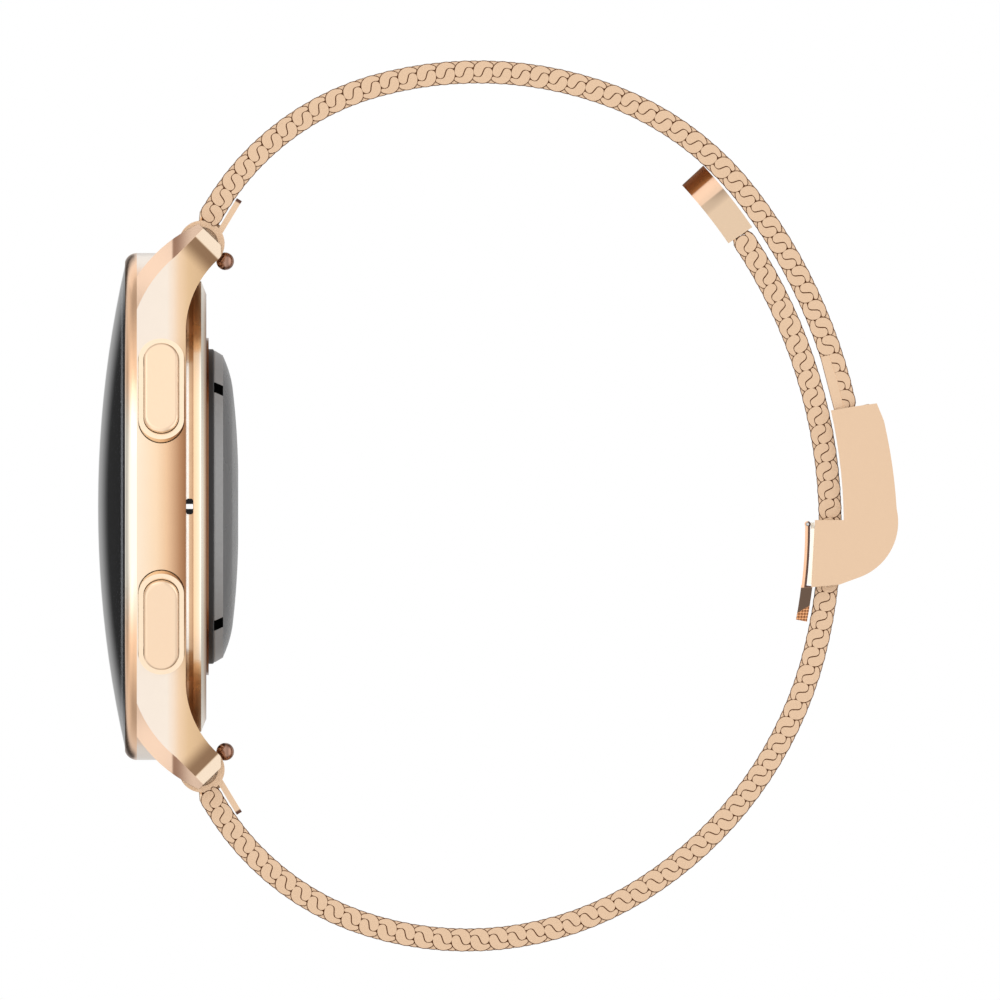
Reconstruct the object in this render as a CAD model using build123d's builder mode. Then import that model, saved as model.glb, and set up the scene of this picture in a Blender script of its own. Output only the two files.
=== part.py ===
from build123d import *
from math import asin, copysign, cos, degrees, radians, sin, sqrt
import os

# Round smartwatch on a woven metal band with a fold-over clasp. Millimetres.
# +X points to 3 o'clock, where the pushers are, +Z to 12 o'clock, and the dial faces -Y.
# The origin is the middle of the flat on the sensor lens, which lies on the wrist.

# Case, measured as heights above the wrist face, towards the dial
case_d = 43.0
glass_d = 41.0
lens_d = 25.5
lens_flat_d = 6.0
lens_h = 1.28
sensor_bezel_h = 0.77
sensor_base_h = 0.45
land_h = 0.20
disc_h = 1.10
groove_h = 0.65
band_h = 4.15
bezel_h = 1.00
glass_dome_h = 2.30
glass_rim_h = 0.17
band_wall = 2.65
fit_gap = 0.05

# Lugs, spring bars and strap
strap_w = 20.0
strap_t = 2.0
lug_gap = 0.15
lug_w = 4.05
lug_bevel = 1.30
bar_z = 22.30
bar_h = 3.10
bar_r = 0.90
bar_tip_r = 0.38
bar_tip_in = 0.80
barrel_r = 1.95
release_travel = 1.0
knob_r = 0.74
knob_reach = 2.50
knob_angle = 37.0
knob_inset = 2.8
knob_x = strap_w / 2 - knob_inset

# Strap centrelines: where they start, their heading, then (radius, turn) of each tangent arc
strap_start = (-2.47, 24.42)
strap_heading = 58.8
first_run = 1.15
strap_12_arcs = [(23.0, 43.0), (32.4, 36.2), (26.0, 31.8), (44.5, 23.2)]
strap_6_arcs = [(23.0, 39.8), (27.9, 50.8), (33.4, 44.3), (43.8, 48.2)]
tip_len = 6.5
tip_t = 2.45
clasp_end_len = 2.2

# Clasp
clasp_wall = 0.60
clasp_plate_t = 0.70
clasp_side_gap = 0.12
clasp_pin_y = 53.40
clasp_pin_z = 7.90
clasp_pin_r = 0.45
pin_skin = 0.20
knuckle_r = 0.80
slider_top_z = -1.15
slider_len = 5.70
slider_wall = 0.50
slider_inner_t = 0.36
slider_inner_gap = 0.29
slider_travel = 7.0
bridge_t = 0.80
bridge_len = 1.20
bridge_gap = 0.30
lever_t = 0.42
lever_pin_r = 0.12
lever_tab_len = 3.1
lever_tab_t = 0.95
lever_tab_gap = 0.20
hook_catch = 0.40
hook_play = 0.75
hook_w = 8.0

# Pushers
pusher_angle = 27.5
cap_len = 8.50
cap_w = 2.95
collar_end_rim = 0.57
collar_side_rim = 0.45
collar_len = cap_len + 2 * collar_end_rim
collar_w = cap_w + 2 * collar_side_rim
collar_proud = 0.10
collar_h = 1.10
cap_proud = 0.60
cap_h = 1.35
cap_gap = 0.05
pusher_travel = 0.45
stem_r = 0.80

# Heights that follow
sensor_bezel_top = lens_h
sensor_base_top = lens_h + sensor_bezel_h
land_top = sensor_base_top + sensor_base_h
disc_top = land_top + land_h
groove_top = disc_top + disc_h
band_back = groove_top + groove_h
band_front = band_back + band_h
bezel_front = band_front + bezel_h
glass_seat = bezel_front - glass_rim_h
glass_top = bezel_front + glass_dome_h
band_mid = (band_back + band_front) / 2

case_r = case_d / 2
glass_r = glass_d / 2
bore_r = case_r - band_wall
lug_in = strap_w / 2 + lug_gap

# A sketch plane for turned pieces: x is the radius, y the height above the wrist face
turning = Plane(origin=(0, 0, 0), x_dir=(1, 0, 0), z_dir=(0, 0, -1))
# Side plane, seen from 3 o'clock: x runs away from the dial, y up
side = Plane.YZ

os.makedirs("parts", exist_ok=True)


def finish(piece, label):
    piece.part.label = label
    export_step(piece.part, f"parts/{label}.step")


def turned(points, mode=Mode.ADD):
    """A ring or disc about the case axis from its half section of (radius, height)."""
    with BuildSketch(turning) as section:
        with BuildLine():
            Polyline(*points, close=True)
        make_face()
    revolve(section.sketch, axis=Axis.Y, mode=mode)


def ring(inner_r, outer_r, low, high, mode=Mode.ADD):
    turned([(inner_r, low), (outer_r, low), (outer_r, high), (inner_r, high)], mode)


def disc(outer_r, low, high, mode=Mode.ADD):
    ring(0, outer_r, low, high, mode)


def dial_plane(height):
    """The plane across the case axis at a height, facing the dial."""
    return Plane.XZ.offset(height)


def around(radius, *angles):
    return [(radius * cos(radians(a)), radius * sin(radians(a))) for a in angles]


# ---------------------------------------------------------------- case band and lugs

lug_foot_z = 15.0
lug_root_z = 19.5
lug_cap = [(-3.35, 23.95), (-1.47, 22.15), (-1.47, 21.2), (-2.12, 20.55)]
lug_round = 0.30
lug_hole_r = bar_tip_r + 0.04
lug_hole_depth = bar_tip_in + 0.1


def lug_outline():
    front, top, heel = (-band_front, lug_root_z), lug_cap[0], lug_cap[-1]
    with BuildLine() as outline:
        Line((-band_front, lug_foot_z), front)
        ThreePointArc(front, (-5.9, 22.42), top)
        Polyline(*lug_cap)
        ThreePointArc(heel, (-3.72, 18.2), (-band_back, lug_foot_z + 0.2))
        Polyline((-band_back, lug_foot_z + 0.2), (-band_back, lug_foot_z), (-band_front, lug_foot_z))
    make_face(outline.edges())


with BuildPart() as lug:
    with BuildSketch(side.offset(lug_in)) as lug_face:
        lug_outline()
        fillet(lug_face.vertices().sort_by(Axis.X)[-3:], radius=lug_round)
    extrude(amount=lug_w)
    outer_edges = lug.faces().sort_by(Axis.X)[-1].edges()
    front_edge = outer_edges.filter_by(GeomType.CIRCLE).sort_by(Axis.Y)[0]
    chamfer(front_edge, length=lug_bevel)

spigot_h = 0.95
shelf_h = 0.60
shelf_back = band_back + spigot_h + fit_gap
shelf_r = bore_r - 0.85
relief_r = barrel_r + 0.20
collar_face = case_r + collar_proud
collar_floor = collar_face - collar_h
cap_face = collar_face + cap_proud - collar_proud
cap_floor = cap_face - cap_h
pusher_floor = cap_floor - pusher_travel - fit_gap
seal_seat_r = 1.30
seal_seat_depth = 0.65


def pusher_plane(angle, distance):
    """A plane across a pusher's axis: its x runs round the case, its z points out."""
    out = Vector(cos(radians(angle)), 0, sin(radians(angle)))
    along = Vector(-sin(radians(angle)), 0, cos(radians(angle)))
    return Plane(origin=Vector(0, -band_mid, 0) + out * distance, x_dir=along, z_dir=out)


pushers = {"upper": pusher_angle, "lower": -pusher_angle}

with BuildPart() as case_band:
    disc(case_r, band_back, band_front)
    add(lug.part)
    mirror(lug.part, about=Plane.YZ)
    mirror(lug.part, about=Plane.XY)
    mirror(mirror(lug.part, about=Plane.YZ, mode=Mode.PRIVATE), about=Plane.XY)
    disc(bore_r, band_back - 0.1, band_front + 0.1, Mode.SUBTRACT)
    ring(shelf_r, bore_r + 0.3, shelf_back, shelf_back + shelf_h)
    for z in (bar_z, -bar_z):
        with BuildSketch(side):
            with Locations((-bar_h, z)):
                Circle(relief_r)
        extrude(amount=lug_in, both=True, mode=Mode.SUBTRACT)
        with BuildSketch(side):
            with Locations((-bar_h, z)):
                Circle(lug_hole_r)
        extrude(amount=lug_in + lug_hole_depth, both=True, mode=Mode.SUBTRACT)
    for angle in pushers.values():
        with BuildSketch(pusher_plane(angle, collar_floor)):
            SlotOverall(collar_len + 2 * fit_gap, collar_w + 2 * fit_gap)
        extrude(amount=collar_h + 1, mode=Mode.SUBTRACT)
        with BuildSketch(pusher_plane(angle, pusher_floor)):
            SlotOverall(cap_len + 2 * cap_gap, cap_w + 2 * cap_gap)
        extrude(amount=collar_floor - pusher_floor, mode=Mode.SUBTRACT)
        with BuildSketch(pusher_plane(angle, shelf_r - 1)):
            Circle(stem_r + 0.04)
        extrude(amount=pusher_floor - shelf_r + 1, mode=Mode.SUBTRACT)
        with BuildSketch(pusher_plane(angle, shelf_r - 1)):
            Circle(seal_seat_r + 0.4)
        extrude(amount=bore_r - shelf_r + 1, mode=Mode.SUBTRACT)
        with BuildSketch(pusher_plane(angle, bore_r - 0.1)):
            Circle(seal_seat_r)
        extrude(amount=seal_seat_depth + 0.1, mode=Mode.SUBTRACT)
finish(case_band, "case_band")

# ---------------------------------------------------------------- front: bezel, glass, display

bezel_in = 18.40
bezel_spigot_h = 0.35
bezel_lip_r = case_r - 0.74
ledge = glass_seat - 0.15

with BuildPart() as bezel_ring:
    with BuildSketch(turning):
        with BuildLine():
            Polyline(
                (case_r, band_front),
                (bore_r - fit_gap, band_front),
                (bore_r - fit_gap, band_front - bezel_spigot_h),
                (bezel_in, band_front - bezel_spigot_h),
                (bezel_in, ledge),
                (glass_r + fit_gap, ledge),
                (glass_r + fit_gap, bezel_front),
                (bezel_lip_r, bezel_front),
            )
            ThreePointArc(
                (bezel_lip_r, bezel_front),
                (case_r - 0.24, bezel_front - 0.34),
                (case_r, band_front),
            )
        make_face()
    revolve(axis=Axis.Y)
finish(bezel_ring, "bezel_ring")

with BuildPart() as glass_adhesive:
    ring(bezel_in + 0.2, glass_r - 0.1, ledge, glass_seat)
finish(glass_adhesive, "glass_adhesive")

glass_curve_r = (glass_r**2 + glass_dome_h**2) / (2 * glass_dome_h)
glass_mid_drop = glass_curve_r - sqrt(glass_curve_r**2 - (glass_r / 2) ** 2)

with BuildPart() as cover_glass:
    with BuildSketch(turning):
        with BuildLine():
            Polyline((0, glass_top), (0, glass_seat), (glass_r, glass_seat), (glass_r, bezel_front))
            ThreePointArc(
                (glass_r, bezel_front),
                (glass_r / 2, glass_top - glass_mid_drop),
                (0, glass_top),
            )
        make_face()
    revolve(axis=Axis.Y)
finish(cover_glass, "cover_glass")

display_r = bezel_in - 0.2
display_t = 0.90
display_back = glass_seat - display_t

with BuildPart() as display_panel:
    disc(display_r, display_back, glass_seat)
finish(display_panel, "display_panel")

# ---------------------------------------------------------------- inside: frame, board, battery

frame_front = band_front - bezel_spigot_h - 0.05
frame_back = shelf_back + shelf_h
frame_in = bore_r - 1.85
post_ring_r = 16.0
post_r = 1.30
post_angles = (60, 120, 240, 300)
screw_r = 0.50
back_floor_t = disc_h - 0.10
back_floor = disc_top + back_floor_t
post_end = back_floor + 0.05
spigot_top = band_back + spigot_h
pusher_room = 4.2
clip_r = 1.05

with BuildPart() as inner_frame:
    ring(frame_in, bore_r - 0.1, frame_back, frame_front)
    with BuildSketch(dial_plane(post_end)):
        with Locations(*around(post_ring_r, *post_angles)):
            Circle(post_r)
    extrude(amount=frame_front - post_end)
    with BuildSketch(dial_plane(post_end)):
        with Locations(*around(post_ring_r, *post_angles)):
            Circle(screw_r + 0.02)
    extrude(amount=3.2, mode=Mode.SUBTRACT)
    for angle in pushers.values():
        with BuildSketch(pusher_plane(angle, post_ring_r)):
            Rectangle(pusher_room, 2 * clip_r + 0.2)
        extrude(amount=4, mode=Mode.SUBTRACT)
finish(inner_frame, "inner_frame")

board_r = frame_in - 0.15
board_front = frame_front - 0.05
board_t = 0.80
board_back = board_front - board_t

with BuildPart() as main_board:
    with BuildSketch(dial_plane(board_back)):
        Circle(board_r)
        with Locations(*around(post_ring_r, *post_angles)):
            Circle(post_r + 0.15, mode=Mode.SUBTRACT)
        with Locations((board_r, 0)):
            Rectangle(3.0, 20.0, mode=Mode.SUBTRACT)
    extrude(amount=board_t)
finish(main_board, "main_board")

with BuildPart() as display_flex:
    with BuildSketch(dial_plane(board_front)):
        with Locations((0, 12.5)):
            Rectangle(8.0, 0.20)
    extrude(amount=display_back - board_front)
finish(display_flex, "display_flex")

shield_t = 1.20
with BuildPart() as board_shields:
    with BuildSketch(dial_plane(board_back - shield_t)):
        for z, width in ((12.2, 9.0), (-12.2, 7.0)):
            with Locations((0, z)):
                RectangleRounded(width, 3.4, 0.4)
    extrude(amount=shield_t)
finish(board_shields, "board_shields")

battery_w = 17.6
battery_l = 19.0
battery_t = 2.70
battery_x = -4.5
battery_front = board_back - 0.15

with BuildPart() as battery:
    with BuildSketch(dial_plane(battery_front - battery_t)):
        with Locations((battery_x, 0)):
            RectangleRounded(battery_w, battery_l, 1.2)
    extrude(amount=battery_t)
    fillet(battery.edges().filter_by(Axis.Y, reverse=True).group_by(Axis.Y)[0], radius=0.5)
finish(battery, "battery")

haptic_at = (9.2, -5.4)
haptic_r = 4.0
haptic_t = 2.6
haptic_wall = 0.35
haptic_front = board_back - 0.15
haptic_shaft_r = 0.40

with BuildPart() as haptic_case:
    with BuildSketch(dial_plane(haptic_front - haptic_t)):
        with Locations(haptic_at):
            Circle(haptic_r)
    extrude(amount=haptic_t)
    with BuildSketch(dial_plane(haptic_front - haptic_t + haptic_wall)):
        with Locations(haptic_at):
            Circle(haptic_r - haptic_wall)
            Circle(haptic_shaft_r, mode=Mode.SUBTRACT)
    extrude(amount=haptic_t - 2 * haptic_wall, mode=Mode.SUBTRACT)
finish(haptic_case, "haptic_case")

with BuildPart() as haptic_rotor:
    with BuildSketch(dial_plane(haptic_front - haptic_t + haptic_wall + 0.3)):
        with Locations(haptic_at):
            Circle(haptic_r - haptic_wall - 0.25)
        with Locations((haptic_at[0], haptic_at[1] + haptic_r - 0.4)):
            Rectangle(2 * haptic_r, 2 * haptic_r, mode=Mode.SUBTRACT)
        with Locations(haptic_at):
            Circle(1.1)
            Circle(haptic_shaft_r + 0.05, mode=Mode.SUBTRACT)
    extrude(amount=haptic_t - 2 * haptic_wall - 0.6)
finish(haptic_rotor, "haptic_rotor")

with BuildPart() as speaker:
    with BuildSketch(dial_plane(haptic_front - 2.5)):
        with Locations((9.3, 6.6)):
            RectangleRounded(5.5, 8.0, 0.8)
    extrude(amount=2.5)
finish(speaker, "speaker")

# ---------------------------------------------------------------- back cover, seal and screws

back_disc_r = 19.10
back_chamfer_r = 1.10
back_chamfer_h = 0.44
land_r = 14.30
neck_r = 18.30
sensor_hole_r = 11.70
cup_r = neck_r - 0.85
seal_groove = (band_back + 0.30, band_back + 0.70)
screw_head_r = 1.00
screw_head_h = 0.45
mic_len = 1.33
mic_h = groove_h - 0.06
mic_proud = 0.45
mic_depth = 0.40

with BuildPart() as back_cover:
    turned(
        [
            (sensor_hole_r, land_top),
            (land_r, land_top),
            (land_r, disc_top),
            (back_disc_r - back_chamfer_r, disc_top),
            (back_disc_r, disc_top + back_chamfer_h),
            (back_disc_r, groove_top),
            (neck_r, groove_top),
            (neck_r, band_back),
            (bore_r - fit_gap, band_back),
            (bore_r - fit_gap, seal_groove[0]),
            (neck_r, seal_groove[0]),
            (neck_r, seal_groove[1]),
            (bore_r - fit_gap, seal_groove[1]),
            (bore_r - fit_gap, spigot_top),
            (cup_r, spigot_top),
            (cup_r, back_floor),
            (sensor_hole_r, back_floor),
        ]
    )
    with BuildSketch(dial_plane(disc_top - 0.1)):
        with Locations(*around(post_ring_r, *post_angles)):
            Circle(screw_head_r + fit_gap)
    extrude(amount=screw_head_h + 0.15, mode=Mode.SUBTRACT)
    with BuildSketch(dial_plane(disc_top)):
        with Locations(*around(post_ring_r, *post_angles)):
            Circle(screw_r + fit_gap)
    extrude(amount=2 * back_floor_t, mode=Mode.SUBTRACT)
    with BuildSketch(side.offset(neck_r - mic_depth)):
        with Locations((-(groove_top + band_back) / 2, 0)):
            RectangleRounded(mic_h + 0.02, mic_len + 0.02, 0.2)
    extrude(amount=mic_depth + mic_proud, mode=Mode.SUBTRACT)
finish(back_cover, "back_cover")

with BuildPart() as back_seal:
    ring(neck_r + 0.02, bore_r - 0.02, seal_groove[0] + 0.02, seal_groove[1] - 0.02)
finish(back_seal, "back_seal")

with BuildPart() as back_screws:
    with BuildSketch(dial_plane(disc_top + 0.05)):
        with Locations(*around(post_ring_r, *post_angles)):
            Circle(screw_head_r)
    extrude(amount=screw_head_h)
    with BuildSketch(dial_plane(disc_top + 0.05)):
        with Locations(*around(post_ring_r, *post_angles)):
            Circle(screw_r)
    extrude(amount=3.6)
    with BuildSketch(dial_plane(disc_top + 0.05)):
        with Locations(*around(post_ring_r, *post_angles)):
            Rectangle(1.5, 0.3)
            Rectangle(0.3, 1.5)
    extrude(amount=0.25, mode=Mode.SUBTRACT)
finish(back_screws, "back_screws")

with BuildPart() as microphone_bush:
    with BuildSketch(side.offset(neck_r - mic_depth + 0.02)):
        with Locations((-(groove_top + band_back) / 2, 0)):
            RectangleRounded(mic_h, mic_len, 0.2)
    extrude(amount=mic_depth + mic_proud - 0.02)
    with BuildSketch(side.offset(neck_r)):
        with Locations((-(groove_top + band_back) / 2, 0)):
            RectangleRounded(0.24, 0.8, 0.1)
    extrude(amount=mic_proud, mode=Mode.SUBTRACT)
finish(microphone_bush, "microphone_bush")

# ---------------------------------------------------------------- wrist sensor

sensor_base_r = 13.35
sensor_bezel_r = 13.20
sensor_bezel_top_r = lens_d / 2 + 0.05
sensor_cup_r = sensor_hole_r - 0.10
sensor_well_r = 10.60
sensor_board_t = 0.60
insert_angles = (50, 130, 230, 310)
insert_len = 1.30
insert_depth = 0.60

with BuildPart() as sensor_base:
    turned(
        [
            (sensor_well_r, sensor_base_top),
            (sensor_base_r - 0.1, sensor_base_top),
            (sensor_base_r, sensor_base_top + 0.1),
            (sensor_base_r, land_top),
            (sensor_cup_r, land_top),
            (sensor_cup_r, back_floor + 0.2),
            (sensor_well_r, back_floor + 0.2),
        ]
    )
finish(sensor_base, "sensor_base")

with BuildPart() as sensor_bezel:
    turned(
        [
            (sensor_well_r - 0.1, sensor_bezel_top),
            (sensor_bezel_top_r, sensor_bezel_top),
            (sensor_bezel_r, sensor_base_top - 0.1),
            (sensor_bezel_r, sensor_base_top),
            (sensor_well_r - 0.1, sensor_base_top),
        ]
    )
    with BuildSketch(dial_plane(sensor_bezel_top)):
        for angle in insert_angles:
            with Locations(*around(sensor_bezel_r, angle)):
                Rectangle(2 * insert_depth, insert_len + 0.04, rotation=angle)
    extrude(amount=sensor_bezel_h, mode=Mode.SUBTRACT)
finish(sensor_bezel, "sensor_bezel")

with BuildPart() as sensor_inserts:
    turned(
        [
            (sensor_bezel_top_r - insert_depth, sensor_bezel_top),
            (sensor_bezel_top_r, sensor_bezel_top),
            (sensor_bezel_r, sensor_base_top - 0.1),
            (sensor_bezel_r, sensor_base_top),
            (sensor_bezel_top_r - insert_depth, sensor_base_top),
        ]
    )
    with BuildSketch(dial_plane(sensor_bezel_top)):
        for angle in insert_angles:
            with Locations(*around(sensor_bezel_r, angle)):
                Rectangle(2 * insert_depth - 0.04, insert_len, rotation=angle)
    extrude(amount=sensor_bezel_h, mode=Mode.INTERSECT)
finish(sensor_inserts, "sensor_inserts")

with BuildPart() as sensor_lens:
    with BuildSketch(turning):
        with BuildLine():
            ThreePointArc((lens_d / 2, lens_h), (11.7, 0.86), (10.2, 0.49))
            ThreePointArc((10.2, 0.49), (6.6, 0.15), (lens_flat_d / 2, 0))
            Polyline((lens_flat_d / 2, 0), (0, 0), (0, lens_h), (lens_d / 2, lens_h))
        make_face()
    revolve(axis=Axis.Y)
finish(sensor_lens, "sensor_lens")

sensor_board_back = sensor_base_top + 1.30

with BuildPart() as sensor_board:
    disc(sensor_well_r - 0.1, sensor_board_back, sensor_board_back + sensor_board_t)
finish(sensor_board, "sensor_board")

emitter_h = 0.70
with BuildPart() as optical_emitters:
    with BuildSketch(dial_plane(sensor_board_back - emitter_h)):
        Rectangle(3.0, 3.0)
        for x, z in around(4.2, 0, 90, 180, 270):
            with Locations((x, z)):
                Rectangle(1.6, 1.6)
    extrude(amount=emitter_h)
finish(optical_emitters, "optical_emitters")

with BuildPart() as charging_magnets:
    with BuildSketch(dial_plane(sensor_board_back - 1.0)):
        with Locations(*around(8.0, 45, 135, 225, 315)):
            Circle(1.5)
    extrude(amount=1.0)
finish(charging_magnets, "charging_magnets")

# ---------------------------------------------------------------- pushers

clip_t = 0.25
clip_seat = bore_r - 0.15 - clip_t
stem_end = bore_r - 1.15
spring_r = 1.05
spring_wire = 0.20
cap_hollow_r = 1.25
cap_hollow_h = 0.85
switch_out = stem_end - pusher_travel - fit_gap
switch_len = 3.0
switch_w = 1.5
switch_h = 1.3
flex_t = 0.20

with BuildPart() as pusher_collars:
    for angle in pushers.values():
        with BuildSketch(pusher_plane(angle, collar_floor)):
            SlotOverall(collar_len, collar_w)
            SlotOverall(cap_len + 2 * cap_gap, cap_w + 2 * cap_gap, mode=Mode.SUBTRACT)
        extrude(amount=collar_h)
finish(pusher_collars, "pusher_collars")

with BuildPart() as pusher_seals:
    for angle in pushers.values():
        with Locations(pusher_plane(angle, bore_r + seal_seat_depth / 2).location):
            Torus(1.06, 0.21)
finish(pusher_seals, "pusher_seals")

for name, angle in pushers.items():
    with BuildPart() as pusher:
        with BuildSketch(pusher_plane(angle, cap_floor)):
            SlotOverall(cap_len, cap_w)
        extrude(amount=cap_h)
        outward = Vector(cos(radians(angle)), 0, sin(radians(angle)))
        rim = pusher.faces().sort_by(Axis((0, 0, 0), tuple(outward)))[-1].edges()
        fillet(rim, radius=0.30)
        with BuildSketch(pusher_plane(angle, cap_floor)):
            Circle(cap_hollow_r)
        extrude(amount=cap_hollow_h, mode=Mode.SUBTRACT)
        with BuildSketch(pusher_plane(angle, stem_end)):
            Circle(stem_r)
        extrude(amount=cap_floor + cap_hollow_h - stem_end)
        with BuildSketch(pusher_plane(angle, clip_seat)):
            Circle(clip_r)
            Circle(stem_r - 0.2, mode=Mode.SUBTRACT)
        extrude(amount=clip_t, mode=Mode.SUBTRACT)
    finish(pusher, f"{name}_pusher")

    with BuildPart() as clip:
        with BuildSketch(pusher_plane(angle, clip_seat + 0.02)):
            Circle(clip_r)
            Circle(stem_r - 0.18, mode=Mode.SUBTRACT)
            with Locations((clip_r, 0)):
                Rectangle(2 * clip_r, 0.9, mode=Mode.SUBTRACT)
        extrude(amount=clip_t - 0.04)
    finish(clip, f"{name}_pusher_clip")

    spring_h = cap_floor + cap_hollow_h - pusher_floor - spring_wire - 0.06
    base = pusher_plane(angle, pusher_floor + spring_wire / 2 + 0.03)
    with BuildPart() as spring:
        with BuildLine():
            coil = Helix(
                pitch=spring_h / 3,
                height=spring_h,
                radius=spring_r,
                center=tuple(base.origin),
                direction=tuple(base.z_dir),
            )
        with BuildSketch(Plane(origin=coil @ 0, z_dir=coil % 0)):
            Circle(spring_wire / 2)
        sweep(is_frenet=True)
    finish(spring, f"{name}_pusher_spring")

with BuildPart() as key_switches:
    for angle in pushers.values():
        with BuildSketch(pusher_plane(angle, switch_out - 0.25 - switch_h)):
            RectangleRounded(switch_len, switch_w, 0.2)
        extrude(amount=switch_h)
        with BuildSketch(pusher_plane(angle, switch_out - 0.25)):
            Circle(0.55)
        extrude(amount=0.25)
finish(key_switches, "key_switches")

flex_out = switch_out - 0.25 - switch_h - 0.12
flex_reach = pusher_angle + 6
with BuildPart() as key_flex:
    with BuildSketch(dial_plane(band_mid - switch_w / 2)):
        with BuildLine():
            for radius in (flex_out, flex_out - flex_t):
                CenterArc((0, 0), radius, -flex_reach, 2 * flex_reach)
            for end in (-flex_reach, flex_reach):
                Line(*around(flex_out, end), *around(flex_out - flex_t, end))
        make_face()
    extrude(amount=switch_w)
finish(key_flex, "key_flex")

# ---------------------------------------------------------------- strap centrelines


def left_of(point, heading, distance):
    turn = radians(heading)
    return (point[0] - distance * sin(turn), point[1] + distance * cos(turn))


def ahead_of(point, heading, distance):
    return left_of(point, heading - 90, distance)


def travel(point, heading, run):
    """Where a run of (radius, turn) ends, or one of (length, 0), and which way it then heads."""
    size, turn = run
    if turn == 0:
        return ahead_of(point, heading, size), heading
    centre = left_of(point, heading, copysign(size, turn))
    return left_of(centre, heading + turn, -copysign(size, turn)), heading + turn


def draw_side(start, heading, runs, distance):
    """Draw the line that lies a distance to the left of the runs; return its two ends."""
    point = start
    first = left_of(point, heading, distance)
    for run in runs:
        size, turn = run
        here = left_of(point, heading, distance)
        if turn == 0:
            Line(here, ahead_of(here, heading, size))
        else:
            way = (cos(radians(heading)), sin(radians(heading)))
            JernArc(here, way, size - copysign(1, turn) * distance, turn)
        point, heading = travel(point, heading, run)
    return first, left_of(point, heading, distance)


def draw_band(start, heading, runs, right, left):
    """The face between two lines that run beside the centreline."""
    with BuildLine() as outline:
        near = draw_side(start, heading, runs, right)
        far = draw_side(start, heading, runs, left)
        Line(near[0], far[0])
        Line(near[1], far[1])
    make_face(outline.edges())


def end_of(start, heading, runs):
    for run in runs:
        start, heading = travel(start, heading, run)
    return start, heading


# The 12 o'clock strap turns clockwise, seen from 3 o'clock, and the 6 o'clock one the other way
ends = {
    12: (strap_start, strap_heading, [(first_run, 0)] + [(r, -t) for r, t in strap_12_arcs]),
    6: (
        (strap_start[0], -strap_start[1]),
        -strap_heading,
        [(first_run, 0)] + strap_6_arcs,
    ),
}
upper_end, upper_end_heading = end_of(*ends[12])
lower_end, lower_end_heading = end_of(*ends[6])
adjust_r = strap_6_arcs[-1][0]
adjust_centre = left_of(lower_end, lower_end_heading, adjust_r)


# ---------------------------------------------------------------- strap ends at the lugs

barrel_w = strap_w - 0.2
barrel_bore_r = bar_r + 0.02
counterbore_r = 1.40
counterbore_in = 1.10
web_w = strap_w - 3.0
web_t = 1.10
flap_t = 0.50
flap_gap = 0.12
flap_len = 2.7
tube_len = barrel_w
tube_bore_r = 0.60
piston_r = 0.55
piston_len = 3.4
neck_rod_r = 0.30
spring_turns = 9
pin_end = lug_in + bar_tip_in
piston_end = tube_len / 2 - 0.8

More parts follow.
